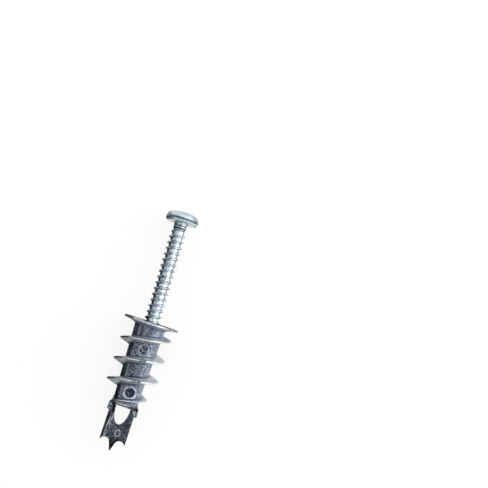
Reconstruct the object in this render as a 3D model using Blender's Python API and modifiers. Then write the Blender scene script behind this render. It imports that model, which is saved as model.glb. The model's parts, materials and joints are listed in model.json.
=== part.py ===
# Self-drilling drywall anchor of die-cast zinc with its pan-head screw started in the mouth,
# lying on its side as it comes to rest. Metres, +Z up.
# The anchor is modelled upright about its own axis and then laid down. Upright, its origin is
# the middle of the flange's top face, +Z points out of the mouth, the moulding marks are on
# the -Y side, and a depth is a distance below the flange's top face.

import math

import bmesh
import bpy
from mathutils import Matrix, Vector

# Flange and tapered tube
FLANGE_DIAMETER = 0.0140
FLANGE_RIM = 0.00042
FLANGE_HUB_DEPTH = 0.00135
TUBE_TOP_DIAMETER = 0.0078
TUBE_END_DIAMETER = 0.0061
TUBE_LENGTH = 0.0222

# Coarse right-hand thread that grips the plasterboard
THREAD_DIAMETER = 0.01262
THREAD_PITCH = 0.00535
THREAD_CREST_WIDTH = 0.00035
THREAD_FLANK_ANGLE = math.radians(17.0)
THREAD_FRONT_DEPTH = 0.00435
THREAD_RUNOUT_LENGTH = 0.0059

# Drill blade with its window, teeth, centre spike, side ribs and reamer shoulders
BLADE_WIDTH = 0.0065
BLADE_THICKNESS = 0.0011
BLADE_LENGTH = 0.0094
BLADE_EDGE_THICKNESS = 0.00036
SPIKE_LENGTH = 0.0021
SPIKE_BASE_WIDTH = 0.0017
SCALLOP_HEIGHT = 0.00095
SCALLOP_SETBACK = 0.0014
WINDOW_WALL = 0.0013
WINDOW_LENGTH = 0.0046
RIB_WIDTH = 0.0010
RIB_INSET = 0.0002
RIB_RISE = 0.0004
RIB_LENGTH = 0.0083
REAMER_REACH = 0.0006
REAMER_DROP = 0.0012
REAMER_LENGTH = 0.0042

# Driver recess in the mouth and the bore below it
RECESS_SPAN = 0.0064
RECESS_ARM_WIDTH = 0.0013
RECESS_DEPTH = 0.0032
RECESS_NARROWING = 0.75
BORE_ALLOWANCE = 0.00055

# Round ejector marks on the front, the upper by its depth, the lower by its rise over the
# tube's end, with their diameters and how far they sink in
UPPER_MARK_DEPTH = 0.0070
UPPER_MARK_DIAMETER = 0.0026
UPPER_MARK_SINK = 0.0002
LOWER_MARK_RISE = 0.0039
LOWER_MARK_DIAMETER = 0.0025
LOWER_MARK_SINK = 0.0005

# Screw: a number 8 pan head, 31.75 mm long under the head
HEAD_DIAMETER = 0.00817
HEAD_HEIGHT = 0.0028
HEAD_EDGE_HEIGHT = 0.0007
HEAD_EDGE_BEVEL = 0.0003
HEAD_RECESS_SPAN = 0.0048
HEAD_RECESS_ARM_WIDTH = 0.0011
HEAD_RECESS_DEPTH = 0.0022
HEAD_RECESS_NARROWING = 0.45
HEAD_CROWN_POWER = 0.75
SCREW_LENGTH = 0.03175
SCREW_ROOT_DIAMETER = 0.00295
SCREW_CREST_DIAMETER = 0.0041
SCREW_PITCH = 0.00151
SCREW_CREST_WIDTH = 0.00012
SCREW_FLANK_ANGLE = math.radians(30.0)
SCREW_NECK_DIAMETER = 0.0032
SCREW_NECK_LENGTH = 0.0018
SCREW_NECK_FILLET = 0.0007
SCREW_POINT_LENGTH = 0.0045
SCREW_THREAD_START = 0.0017
SCREW_THREAD_STOP = 0.0007

# How the screw sits in the anchor: turned in by hand, and leaning in the mouth
STARTED_DEPTH = 0.00565
LEAN_TO_THE_BACK = math.radians(9.0)
LEAN_TO_THE_LEFT = math.radians(1.0)
MOUTH_CLEARANCE = 0.0003

# Facets round the anchor and round the screw
ANCHOR_SEGMENTS = 32
SCREW_SEGMENTS = 18

WELD = 0.000001
PAST = 0.001  # how far a cutter runs past the face it cuts, and a joined piece into its carrier
ROOTED = 0.8  # a ridge starts inside what carries it, at this share of its carrier's radius

tube_top_radius = TUBE_TOP_DIAMETER / 2
tube_end_radius = TUBE_END_DIAMETER / 2
blade_half_width = BLADE_WIDTH / 2
blade_half_thickness = BLADE_THICKNESS / 2
tooth_depth = TUBE_LENGTH + BLADE_LENGTH
tip_depth = tooth_depth + SPIKE_LENGTH
lower_mark_depth = TUBE_LENGTH - LOWER_MARK_RISE
screw_root_radius = SCREW_ROOT_DIAMETER / 2
screw_crest_radius = SCREW_CREST_DIAMETER / 2
screw_standout = SCREW_LENGTH - STARTED_DEPTH
bore_radius = (SCREW_ROOT_DIAMETER + BORE_ALLOWANCE) / 2
lean = math.acos(math.cos(LEAN_TO_THE_BACK) * math.cos(LEAN_TO_THE_LEFT))
mouth_depth = STARTED_DEPTH + MOUTH_CLEARANCE


def empty_scene():
    for old in list(bpy.data.objects):
        bpy.data.objects.remove(old, do_unlink=True)


def new_collection(name):
    collection = bpy.data.collections.new(name)
    bpy.context.scene.collection.children.link(collection)
    return collection


def metal(name, colour, roughness):
    material = bpy.data.materials.new(name)
    material.use_nodes = True
    shader = material.node_tree.nodes["Principled BSDF"]
    shader.inputs["Base Color"].default_value = (*colour, 1.0)
    shader.inputs["Metallic"].default_value = 1.0
    shader.inputs["Roughness"].default_value = roughness
    return material


def add_object(name, data, collection):
    added = bpy.data.objects.new(name, data)
    collection.objects.link(added)
    return added


def share(value, start, end):
    # 0 at start, 1 at end, in proportion between them
    return min(max((value - start) / (end - start), 0.0), 1.0)


def arc_through(first, middle, last, steps):
    # Points on the circular arc from first over middle to last, both ends included
    a, b, c = (complex(*point) for point in (first, middle, last))
    w = (c - a) / (b - a)
    centre = a + (b - a) * (w - abs(w) ** 2) / (2j * w.imag)
    start, turn = (a - centre), (c - centre) / (a - centre)
    sweep = math.atan2(turn.imag, turn.real)
    through = (b - centre) / (a - centre)
    if math.atan2(through.imag, through.real) * sweep < 0:
        sweep -= math.copysign(2 * math.pi, sweep)
    points = []
    for i in range(steps + 1):
        point = centre + start * complex(math.cos(sweep * i / steps), math.sin(sweep * i / steps))
        points.append((point.real, point.imag))
    return points


def turned(name, profile, segments, collection):
    # A solid of revolution from (radius, height) points, down the outside from axis to axis
    mesh = bpy.data.meshes.new(name)
    points = [(radius, 0.0, height) for radius, height in profile]
    mesh.from_pydata(points, [(i, i + 1) for i in range(len(points) - 1)], [])
    solid = add_object(name, mesh, collection)
    screw = solid.modifiers.new("Turn", "SCREW")
    screw.steps = screw.render_steps = segments
    screw.use_merge_vertices = True
    screw.merge_threshold = WELD
    return solid


def prism(name, outlines, half_thickness, rotation, collection):
    # A flat outline, with holes if more outlines lie inside it, given a thickness and welded
    curve = bpy.data.curves.new(name, "CURVE")
    curve.dimensions = "2D"
    curve.fill_mode = "BOTH"
    curve.extrude = half_thickness
    for outline in outlines:
        spline = curve.splines.new("POLY")
        spline.points.add(len(outline) - 1)
        spline.use_cyclic_u = True
        for point, (across, up) in zip(spline.points, outline):
            point.co = (across, up, 0.0, 1.0)
    flat = add_object(name, curve, collection)
    mesh = bpy.data.meshes.new_from_object(flat.evaluated_get(bpy.context.evaluated_depsgraph_get()))
    bpy.data.objects.remove(flat, do_unlink=True)
    shape = bmesh.new()
    shape.from_mesh(mesh)
    bmesh.ops.remove_doubles(shape, verts=shape.verts, dist=WELD)
    bmesh.ops.recalc_face_normals(shape, faces=shape.faces)
    shape.to_mesh(mesh)
    shape.free()
    solid = add_object(name, mesh, collection)
    solid.rotation_euler = rotation
    return solid


FACING_FRONT = (math.radians(90.0), 0.0, 0.0)
FACING_SIDE = (math.radians(90.0), 0.0, math.radians(90.0))


def lofted(name, sections, collection):
    # A bar through closed sections with as many points each, capped at both ends
    shape = bmesh.new()
    rings = [[shape.verts.new(point) for point in section] for section in sections]
    for ring, following in zip(rings, rings[1:]):
        for i in range(len(ring)):
            j = (i + 1) % len(ring)
            shape.faces.new((ring[i], ring[j], following[j], following[i]))
    shape.faces.new(rings[0])
    shape.faces.new(rings[-1])
    bmesh.ops.recalc_face_normals(shape, faces=shape.faces)
    mesh = bpy.data.meshes.new(name)
    shape.to_mesh(mesh)
    shape.free()
    return add_object(name, mesh, collection)


def ridge_section(angle, height, inner, outer, crest_width, flank_angle, ceiling):
    # The ridge's section in the plane through the axis at this angle
    inner_width = crest_width + 2 * (outer - inner) * math.tan(flank_angle)
    corners = (
        (inner, inner_width / 2),
        (outer, crest_width / 2),
        (outer, -crest_width / 2),
        (inner, -inner_width / 2),
    )
    return [
        (radius * math.cos(angle), radius * math.sin(angle), min(height + rise, ceiling))
        for radius, rise in corners
    ]


def tapered_bar(name, length, width, depth, narrowing, collection):
    # A bar across the axis from just above z = 0 down to the depth, its sides closing in below
    shape = bmesh.new()
    bmesh.ops.create_cube(shape, size=1.0)
    for corner in shape.verts:
        if corner.co.z > 0:
            growth = 1 + (1 - narrowing) * PAST / depth
            corner.co = (corner.co.x * length * growth, corner.co.y * width * growth, PAST)
        else:
            corner.co = (corner.co.x * length * narrowing, corner.co.y * width * narrowing, -depth)
    mesh = bpy.data.meshes.new(name)
    shape.to_mesh(mesh)
    shape.free()
    return add_object(name, mesh, collection)


def cross_recess(name, span, arm_width, depth, narrowing, collection):
    arms = []
    for number, turn in enumerate((0.0, math.radians(90.0)), 1):
        arm = tapered_bar(f"{name}_arm_{number}", span, arm_width, depth, narrowing, collection)
        arm.rotation_euler.z = turn
        arms.append(arm)
    return arms


def combine(target, operation, tools):
    # Each join or cut is welded, because facets that line up leave vertices on top of each other
    for tool in tools:
        boolean = target.modifiers.new(tool.name, "BOOLEAN")
        boolean.operation = operation
        boolean.solver = "EXACT"
        boolean.object = tool
        weld = target.modifiers.new("Weld", "WELD")
        weld.merge_threshold = WELD
        tool.hide_render = True
        tool.display_type = "WIRE"


def settle(solid, name, material, collection):
    # The finished solid as a plain mesh, smooth but for its real edges
    bpy.context.view_layer.update()
    mesh = bpy.data.meshes.new_from_object(solid.evaluated_get(bpy.context.evaluated_depsgraph_get()))
    mesh.name = name
    mesh.materials.clear()
    mesh.materials.append(material)
    mesh.shade_smooth()
    mesh.set_sharp_from_angle(angle=math.radians(30.0))
    bpy.data.objects.remove(solid, do_unlink=True)
    return add_object(name, mesh, collection)


def tube_radius(depth):
    along = share(depth, FLANGE_HUB_DEPTH, TUBE_LENGTH)
    return tube_top_radius + (tube_end_radius - tube_top_radius) * along


def flange_and_tube(collection):
    profile = [
        (0.0, 0.0),
        (FLANGE_DIAMETER / 2, 0.0),
        (FLANGE_DIAMETER / 2, -FLANGE_RIM),
        (tube_top_radius, -FLANGE_HUB_DEPTH),
        (tube_end_radius, -TUBE_LENGTH),
        (0.0, -TUBE_LENGTH),
    ]
    return turned("flange_and_tube", profile, ANCHOR_SEGMENTS, collection)


def gripping_thread(collection):
    # One start, right hand. It grows out of the flange's underside, keeps its diameter while
    # the tube tapers, and sinks into the tube above its end. Sections lie on the tube's facets.
    drop = THREAD_PITCH / ANCHOR_SEGMENTS
    first = -math.floor((THREAD_FRONT_DEPTH - FLANGE_RIM) / drop)
    last = math.floor((TUBE_LENGTH - THREAD_FRONT_DEPTH) / drop)
    sections = []
    for step in range(first, last + 1):
        depth = THREAD_FRONT_DEPTH + step * drop
        inner = ROOTED * tube_radius(depth)
        sinking = share(depth, TUBE_LENGTH - THREAD_RUNOUT_LENGTH, TUBE_LENGTH)
        sunk_radius = (1 + ROOTED) / 2 * tube_end_radius
        outer = THREAD_DIAMETER / 2 + (sunk_radius - THREAD_DIAMETER / 2) * sinking
        angle = -math.pi / 2 - step * 2 * math.pi / ANCHOR_SEGMENTS
        section = ridge_section(
            angle, -depth, inner, outer, THREAD_CREST_WIDTH, THREAD_FLANK_ANGLE, -FLANGE_RIM / 2
        )
        sections.append(section)
    return lofted("gripping_thread", sections, collection)


def blade_outline():
    # The right half from the reamer shoulder down to the spike's tip, mirrored for the left
    shoulder = blade_half_width + REAMER_REACH
    shoulder_depth = TUBE_LENGTH + REAMER_DROP
    scallop_top = (blade_half_width - SCALLOP_SETBACK, -(tooth_depth - SCALLOP_HEIGHT))
    spike_base = (SPIKE_BASE_WIDTH / 2, -(tooth_depth - SPIKE_BASE_WIDTH / 5))
    right = [
        (tube_radius(shoulder_depth - REAMER_LENGTH) - RIB_INSET, REAMER_LENGTH - shoulder_depth),
        (shoulder, -shoulder_depth),
        (shoulder, -shoulder_depth - REAMER_REACH / 2),
        (blade_half_width, -shoulder_depth - REAMER_REACH),
    ]
    right += arc_through((blade_half_width, -tooth_depth), scallop_top, spike_base, 8)
    left = [(-across, up) for across, up in reversed(right)]
    return right + [(0.0, -tip_depth)] + left


def window_outline():
    # Its flat top is the tube's end face, so the outline starts inside the tube
    half_width = blade_half_width - WINDOW_WALL
    steps = 12
    round_end = [
        (
            half_width * math.cos(math.pi * i / steps),
            -TUBE_LENGTH - WINDOW_LENGTH * math.sin(math.pi * i / steps),
        )
        for i in range(1, steps)
    ]
    inside_tube = PAST / 2 - TUBE_LENGTH
    return [(half_width, inside_tube), *round_end, (-half_width, inside_tube)]


def drill_blade(collection):
    plate = prism(
        "blade_plate", [blade_outline(), window_outline()], BLADE_THICKNESS, FACING_FRONT, collection
    )
    relief_depth = tooth_depth - SCALLOP_HEIGHT
    edge = BLADE_EDGE_THICKNESS / 2
    side_outline = [
        (-blade_half_thickness, PAST),
        (-blade_half_thickness, -relief_depth),
        (-edge, -tip_depth - PAST / 2),
        (edge, -tip_depth - PAST / 2),
        (blade_half_thickness, -relief_depth),
        (blade_half_thickness, PAST),
    ]
    side = prism("blade_side", [side_outline], FLANGE_DIAMETER / 2, FACING_SIDE, collection)
    combine(plate, "INTERSECT", [side])
    return plate


def blade_ribs(collection):
    # One rib up the front's left edge and one up the back's right edge, thinning to the teeth
    top = TUBE_LENGTH - PAST
    end = TUBE_LENGTH + RIB_LENGTH
    crown = blade_half_thickness + RIB_RISE
    outline = [
        (0.0, -top),
        (-crown, -top),
        (-crown, -TUBE_LENGTH - RIB_LENGTH / 4),
        (-0.9 * blade_half_thickness, -end),
        (0.0, -end),
    ]
    ribs = []
    for name, turn in (("front_rib", 0.0), ("back_rib", math.pi)):
        rib = prism(name, [outline], RIB_WIDTH / 2, FACING_SIDE, collection)
        rib.location.x = -math.cos(turn) * (blade_half_width - RIB_INSET - RIB_WIDTH / 2)
        rib.rotation_euler.z += turn
        ribs.append(rib)
    return ribs


def mouth_radius():
    # Wide enough at every depth for the leaning screw's thread
    steps = 40
    depths = [STARTED_DEPTH * i / steps for i in range(steps)]
    swept = max(crest_radius(-depth) / math.cos(lean) + depth * math.tan(lean) for depth in depths)
    return swept + MOUTH_CLEARANCE


def bore_cutter(collection):
    mouth = mouth_radius()
    profile = [
        (0.0, PAST),
        (mouth, PAST),
        (mouth, -mouth_depth),
        (bore_radius, -mouth_depth - (mouth - bore_radius)),
        (bore_radius, -TUBE_LENGTH - PAST),
        (0.0, -TUBE_LENGTH - PAST),
    ]
    return turned("bore", profile, ANCHOR_SEGMENTS, collection)


def mark_cutter(name, depth, diameter, sink, collection):
    shape = bmesh.new()
    bmesh.ops.create_cone(
        shape, cap_ends=True, segments=20, radius1=diameter / 2, radius2=diameter / 2, depth=2 * PAST
    )
    mesh = bpy.data.meshes.new(name)
    shape.to_mesh(mesh)
    shape.free()
    cutter = add_object(name, mesh, collection)
    cutter.rotation_euler = FACING_FRONT
    cutter.location = (0.0, -tube_radius(depth) + sink - PAST, -depth)
    return cutter


def anchor(material, collection, helpers):
    solid = flange_and_tube(helpers)
    joined = [gripping_thread(helpers), drill_blade(helpers), *blade_ribs(helpers)]
    combine(solid, "UNION", joined)
    cutters = [
        bore_cutter(helpers),
        *cross_recess(
            "mouth", RECESS_SPAN, RECESS_ARM_WIDTH, RECESS_DEPTH, RECESS_NARROWING, helpers
        ),
        mark_cutter("upper_mark", UPPER_MARK_DEPTH, UPPER_MARK_DIAMETER, UPPER_MARK_SINK, helpers),
        mark_cutter("lower_mark", lower_mark_depth, LOWER_MARK_DIAMETER, LOWER_MARK_SINK, helpers),
    ]
    combine(solid, "DIFFERENCE", cutters)
    return settle(solid, "anchor", material, collection)


def shank_radius(height):
    # The root of the screw's thread: a straight shank, then a gimlet point with bowed sides
    along = share(height, -STARTED_DEPTH, SCREW_POINT_LENGTH - STARTED_DEPTH)
    return screw_root_radius * math.sin(math.pi / 2 * along)


def crest_radius(height):
    # The thread is full on the straight shank and shrinks along the point
    pointed = share(height, SCREW_THREAD_STOP - STARTED_DEPTH, SCREW_POINT_LENGTH - STARTED_DEPTH)
    thread_height = screw_crest_radius - screw_root_radius
    return shank_radius(height) + thread_height * (0.15 + 0.85 * pointed)


def pan_head(collection):
    # The crown is a quarter of a superellipse, so it is flat on top and round at the edge. Below
    # the flat underside a fillet runs into the plain neck, which is fatter than the thread's root.
    steps = 8
    head_radius = HEAD_DIAMETER / 2
    neck_radius = SCREW_NECK_DIAMETER / 2
    edge = screw_standout + HEAD_EDGE_HEIGHT
    crown = HEAD_HEIGHT - HEAD_EDGE_HEIGHT
    profile = []
    for i in range(steps + 1):
        turn = math.pi / 2 * i / steps
        out = math.sin(turn) ** HEAD_CROWN_POWER if i else 0.0
        up = math.cos(turn) ** HEAD_CROWN_POWER if i < steps else 0.0
        profile.append((head_radius * out, edge + crown * up))
    profile.append((head_radius - HEAD_EDGE_BEVEL, screw_standout))
    for i in range(5):
        turn = math.pi / 2 * i / 4
        radius = neck_radius + SCREW_NECK_FILLET * (1 - math.sin(turn))
        profile.append((radius, screw_standout - SCREW_NECK_FILLET * (1 - math.cos(turn))))
    neck_end = screw_standout - SCREW_NECK_LENGTH
    profile += [(neck_radius, neck_end), (0.0, neck_end)]
    return turned("pan_head", profile, 2 * SCREW_SEGMENTS, collection)


def shank(collection):
    # It reaches up inside the neck
    steps = 6
    point_top = SCREW_POINT_LENGTH - STARTED_DEPTH
    neck_end = screw_standout - SCREW_NECK_LENGTH
    profile = [(0.0, neck_end + PAST), (screw_root_radius, neck_end + PAST)]
    for i in range(steps + 1):
        height = point_top - SCREW_POINT_LENGTH * i / steps
        profile.append((shank_radius(height) if i < steps else 0.0, height))
    return turned("shank", profile, SCREW_SEGMENTS, collection)


def screw_thread(collection):
    # One start, right hand, rising out of the neck and sinking again at the gimlet point
    drop = SCREW_PITCH / SCREW_SEGMENTS
    top = screw_standout - SCREW_THREAD_START
    end = SCREW_THREAD_STOP - STARTED_DEPTH
    sections = []
    for step in range(math.floor((top - end) / drop) + 1):
        height = top - step * drop
        root = shank_radius(height)
        rising = share(step, 0, SCREW_SEGMENTS)
        outer = root + (crest_radius(height) - root) * (0.1 + 0.9 * rising)
        section = ridge_section(
            -step * 2 * math.pi / SCREW_SEGMENTS,
            height,
            ROOTED * root,
            outer,
            SCREW_CREST_WIDTH,
            SCREW_FLANK_ANGLE,
            screw_standout,
        )
        sections.append(section)
    return lofted("screw_thread", sections, collection)


def screw(material, collection, helpers):
    solid = shank(helpers)
    combine(solid, "UNION", [screw_thread(helpers), pan_head(helpers)])
    arms = cross_recess(
        "head",
        HEAD_RECESS_SPAN,
        HEAD_RECESS_ARM_WIDTH,
        HEAD_RECESS_DEPTH,
        HEAD_RECESS_NARROWING,
        helpers,
    )
    for arm in arms:
        arm.location.z = screw_standout + HEAD_HEIGHT
    combine(solid, "DIFFERENCE", arms)
    return settle(solid, "screw", material, collection)


def resting_rotation():
    # Rolled until a facet of the flange lies flat on the floor, laid on its back with the head
    # toward +X, and tilted until the flange's rim and a crest of the thread both touch the floor
    half_facet = math.pi / ANCHOR_SEGMENTS
    below = THREAD_FRONT_DEPTH + THREAD_PITCH * (0.5 + half_facet / (2 * math.pi))
    full_turns = math.floor((TUBE_LENGTH - THREAD_RUNOUT_LENGTH - below) / THREAD_PITCH)
    crest_depth = below + full_turns * THREAD_PITCH
    tilt = math.atan2((FLANGE_DIAMETER - THREAD_DIAMETER) / 2, crest_depth - FLANGE_RIM)
    laid = Matrix(((0.0, 0.0, 1.0), (-1.0, 0.0, 0.0), (0.0, -1.0, 0.0))).to_4x4()
    roll = Matrix.Rotation(half_facet, 4, "Z")
    return Matrix.Rotation(-tilt, 4, "Y") @ laid @ roll


def lay_down(pieces, collection):
    rest = add_object("rest", None, collection)
    rest.rotation_euler = resting_rotation().to_euler()
    for piece in pieces:
        piece.parent = rest
    bpy.context.view_layer.update()
    corners = [piece.matrix_world @ vertex.co for piece in pieces for vertex in piece.data.vertices]
    low = Vector(min(corner[axis] for corner in corners) for axis in range(3))
    high = Vector(max(corner[axis] for corner in corners) for axis in range(3))
    rest.location = (-(low.x + high.x) / 2, -(low.y + high.y) / 2, -low.z)


def build():
    empty_scene()
    parts = new_collection("self_drilling_drywall_anchor")
    helpers = new_collection("cutters")
    cast_zinc = metal("cast_zinc", (0.20, 0.20, 0.24), 0.55)
    zinc_plate = metal("zinc_plate", (0.72, 0.76, 0.82), 0.22)
    anchor_piece = anchor(cast_zinc, parts, helpers)
    screw_piece = screw(zinc_plate, parts, helpers)
    screw_piece.rotation_euler = (-LEAN_TO_THE_BACK, -LEAN_TO_THE_LEFT, 0.0)
    lay_down([anchor_piece, screw_piece], parts)


build()
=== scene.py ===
import json
import math

import bpy
from mathutils import Euler, Matrix, Vector


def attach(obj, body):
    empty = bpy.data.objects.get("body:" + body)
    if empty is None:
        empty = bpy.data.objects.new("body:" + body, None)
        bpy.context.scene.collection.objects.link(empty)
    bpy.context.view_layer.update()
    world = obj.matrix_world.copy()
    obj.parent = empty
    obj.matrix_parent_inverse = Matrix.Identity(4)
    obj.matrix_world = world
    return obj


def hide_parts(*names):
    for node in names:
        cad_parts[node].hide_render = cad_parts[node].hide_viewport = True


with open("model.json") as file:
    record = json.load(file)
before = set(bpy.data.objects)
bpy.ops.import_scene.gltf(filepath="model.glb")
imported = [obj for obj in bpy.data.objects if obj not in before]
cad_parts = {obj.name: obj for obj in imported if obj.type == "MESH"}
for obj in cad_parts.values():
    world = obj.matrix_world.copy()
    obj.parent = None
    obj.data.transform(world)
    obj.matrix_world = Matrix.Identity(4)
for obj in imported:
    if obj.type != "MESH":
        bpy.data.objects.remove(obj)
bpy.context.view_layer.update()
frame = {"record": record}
print("stage: frame loaded")

# Pieces are shaped in millimetres, upright, with the middle of the flange's top face at the
# origin, the head up and the moulding marks towards -Y. placePiece lays them down in metres.
metresPerUnit = 0.001
weldDistance = 0.0005


def deselectAll():
    if bpy.context.object and bpy.context.object.mode != "OBJECT":
        bpy.ops.object.mode_set(mode="OBJECT")
    bpy.ops.object.select_all(action="DESELECT")


def makeActive(piece):
    deselectAll()
    piece.select_set(True)
    bpy.context.view_layer.objects.active = piece


def newPiece(name, addPrimitive, **settings):
    deselectAll()
    addPrimitive(**settings)
    piece = bpy.context.active_object
    piece.name = name
    return piece


def applyModifier(piece, kind, **settings):
    modifier = piece.modifiers.new(kind.title(), kind)
    for key, value in settings.items():
        setattr(modifier, key, value)
    makeActive(piece)
    bpy.ops.object.modifier_apply(modifier=modifier.name)
    return piece


def bevelEdges(piece, width, segments=2, degrees=25):
    angle = math.radians(degrees)
    return applyModifier(
        piece, "BEVEL", width=width, segments=segments, limit_method="ANGLE", angle_limit=angle
    )


def cleanMesh(piece, fill=False):
    makeActive(piece)
    bpy.ops.object.mode_set(mode="EDIT")
    bpy.ops.mesh.select_all(action="SELECT")
    bpy.ops.mesh.remove_doubles(threshold=weldDistance)
    if fill:
        bpy.ops.mesh.fill_holes(sides=0)
    bpy.ops.mesh.select_all(action="SELECT")
    bpy.ops.mesh.normals_make_consistent(inside=False)
    bpy.ops.object.mode_set(mode="OBJECT")
    return piece


def tracedLine(name, points, closed=False):
    # One vertex extruded from point to point in the XZ plane
    piece = newPiece(name, bpy.ops.mesh.primitive_plane_add, size=1.0, location=(0, 0, 0))
    bpy.ops.object.mode_set(mode="EDIT")
    bpy.ops.mesh.select_all(action="SELECT")
    bpy.ops.mesh.merge(type="CENTER")
    bpy.ops.transform.translate(value=(points[0][0], 0, points[0][1]))
    for here, there in zip(points, points[1:]):
        step = (there[0] - here[0], 0, there[1] - here[1])
        bpy.ops.mesh.extrude_region_move(TRANSFORM_OT_translate={"value": step})
    bpy.ops.mesh.select_all(action="SELECT")
    if closed:
        bpy.ops.mesh.edge_face_add()
    bpy.ops.object.mode_set(mode="OBJECT")
    return piece


def turnedPiece(name, profile, steps):
    # The profile runs down the outside from axis to axis
    piece = tracedLine(name, profile)
    merging = {"use_merge_vertices": True, "merge_threshold": weldDistance}
    applyModifier(piece, "SCREW", steps=steps, render_steps=steps, **merging)
    return cleanMesh(piece)


def platePiece(name, outline, halfThickness):
    # A flat outline in the XZ plane given a thickness either way along Y
    piece = tracedLine(name, outline, closed=True)
    makeActive(piece)
    bpy.ops.object.mode_set(mode="EDIT")
    bpy.ops.mesh.select_all(action="SELECT")
    bpy.ops.transform.translate(value=(0, -halfThickness, 0))
    bpy.ops.mesh.extrude_region_move(TRANSFORM_OT_translate={"value": (0, 2 * halfThickness, 0)})
    bpy.ops.object.mode_set(mode="OBJECT")
    return cleanMesh(piece)


def movePiece(piece, shift=(0, 0, 0), turnZ=0.0):
    piece.data.transform(Matrix.Translation(shift) @ Matrix.Rotation(turnZ, 4, "Z"))
    return piece


def joinWith(piece, tool, operation="UNION"):
    applyModifier(piece, "BOOLEAN", operation=operation, solver="EXACT", object=tool)
    applyModifier(piece, "WELD", merge_threshold=weldDistance)
    bpy.data.objects.remove(tool, do_unlink=True)
    return piece


def helicalSkin(name, size, crestHeight, turns, low, high, radiusAt):
    # A closed bar whose rows of points follow a right-hand helix, from the lowest crest up.
    # radiusAt gives the radius from the height and the distance along the axis from the crest.
    pitch, steps, halfRows = size["pitch"], size["threadSteps"], size["threadRows"]
    rows = [-pitch / 2] + [-row for row in reversed(halfRows[1:])] + halfRows + [pitch / 2]
    piece = tracedLine(name, [(1.0, crestHeight + row) for row in rows])
    applyModifier(piece, "SCREW", steps=steps, render_steps=steps, screw_offset=pitch, iterations=turns)
    for vertex in piece.data.vertices:
        angle = math.atan2(vertex.co.y, vertex.co.x)
        height = min(max(vertex.co.z, low), high)
        crest = crestHeight + pitch * angle / (2 * math.pi)
        offset = (height - crest + pitch / 2) % pitch - pitch / 2
        radius = radiusAt(height, offset)
        vertex.co = (radius * math.cos(angle), radius * math.sin(angle), height)
    return cleanMesh(piece, fill=True)


def smoothMax(first, second, blend):
    overlap = max(blend - abs(first - second), 0.0) / blend
    return max(first, second) + overlap * overlap * blend / 4


def share(value, start, end):
    return min(max((value - start) / (end - start), 0.0), 1.0)


def arcPoints(first, middle, last, steps):
    # Points on the circle through three points, from the first to the last
    a, b, c = (complex(*point) for point in (first, middle, last))
    w = (c - a) / (b - a)
    centre = a + (b - a) * (w - abs(w) ** 2) / (2j * w.imag)
    start, turn = a - centre, (c - centre) / (a - centre)
    sweep = math.atan2(turn.imag, turn.real)
    through = (b - centre) / (a - centre)
    if math.atan2(through.imag, through.real) * sweep < 0:
        sweep -= math.copysign(2 * math.pi, sweep)
    angles = [sweep * i / steps for i in range(steps + 1)]
    path = [centre + start * complex(math.cos(angle), math.sin(angle)) for angle in angles]
    return [(point.real, point.imag) for point in path]


# The record's flange mount says where the anchor lies and how far its head end is raised
resting = {
    "mountOnFlange": (0.0032, -0.0032, 0.0),
    "roll": math.pi / 32,
    "leanBack": math.radians(9.0),
    "leanLeft": math.radians(1.0),
}
mounts = {mount["name"]: mount for mount in frame["record"]["mounts"]}
flangeMount = mounts["flange_face"]
tilt = math.asin(flangeMount["axis"][2])
laid = Matrix(((0, 0, 1), (-1, 0, 0), (0, -1, 0))).to_4x4()
turned = Matrix.Rotation(-tilt, 4, "Y") @ laid @ Matrix.Rotation(resting["roll"], 4, "Z")
flangeCentre = Vector(flangeMount["pos_m"]) - turned.to_3x3() @ Vector(resting["mountOnFlange"])
anchorPlace = Matrix.Translation(flangeCentre) @ turned @ Matrix.Scale(metresPerUnit, 4)
leaning = Euler((-resting["leanBack"], -resting["leanLeft"], 0.0)).to_matrix().to_4x4()
screwPlace = anchorPlace @ leaning

shading = {"smoothAngle": math.radians(32), "normalWeight": 60}


def placePiece(piece, matrix, node, material):
    piece.data.transform(matrix)
    piece.data.materials.clear()
    piece.data.materials.append(material)
    makeActive(piece)
    bpy.ops.object.shade_smooth_by_angle(angle=shading["smoothAngle"])
    applyModifier(piece, "WEIGHTED_NORMAL", keep_sharp=True, weight=shading["normalWeight"])
    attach(piece, "root")
    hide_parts(node)


# The camera looks down on the lying pair, a little from the blade's side
camera = {
    "turn": math.radians(-71.6),
    "distance": 2.0,
    "fromBladeSide": math.radians(2.1),
    "frameWidth": 0.12179,
    "sensor": 36.0,
    "clipEnd": 10.0,
    "toRight": 0.02306,
    "toTop": 0.01959,
}
cameraData = bpy.data.cameras.new("camera")
cameraObject = bpy.data.objects.new("camera", cameraData)
bpy.context.scene.collection.objects.link(cameraObject)
bpy.context.scene.camera = cameraObject
cameraData.sensor_width = camera["sensor"]
cameraData.lens = camera["sensor"] * camera["distance"] / camera["frameWidth"]
cameraData.clip_end = camera["clipEnd"]
cameraObject.rotation_euler = (0, 0, camera["turn"])
rightward = Vector((math.cos(camera["turn"]), math.sin(camera["turn"]), 0))
upward = Vector((-math.sin(camera["turn"]), math.cos(camera["turn"]), 0))
cameraObject.location = flangeCentre + rightward * camera["toRight"] + upward * camera["toTop"]
cameraObject.location.z = flangeCentre.z + camera["distance"]
bpy.context.view_layer.update()
swing = Matrix.Rotation(-camera["fromBladeSide"], 4, "Y")
aboutFlange = Matrix.Translation(flangeCentre) @ swing @ Matrix.Translation(-flangeCentre)
cameraObject.matrix_world = aboutFlange @ cameraObject.matrix_world


def newMaterial(name):
    material = bpy.data.materials.new(name)
    material.use_nodes = True
    return material, material.node_tree, material.node_tree.nodes["Principled BSDF"]


def setSocket(tree, socket, value):
    # Links a socket or sets its constant
    if isinstance(value, bpy.types.NodeSocket):
        tree.links.new(value, socket)
    else:
        socket.default_value = value


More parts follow.
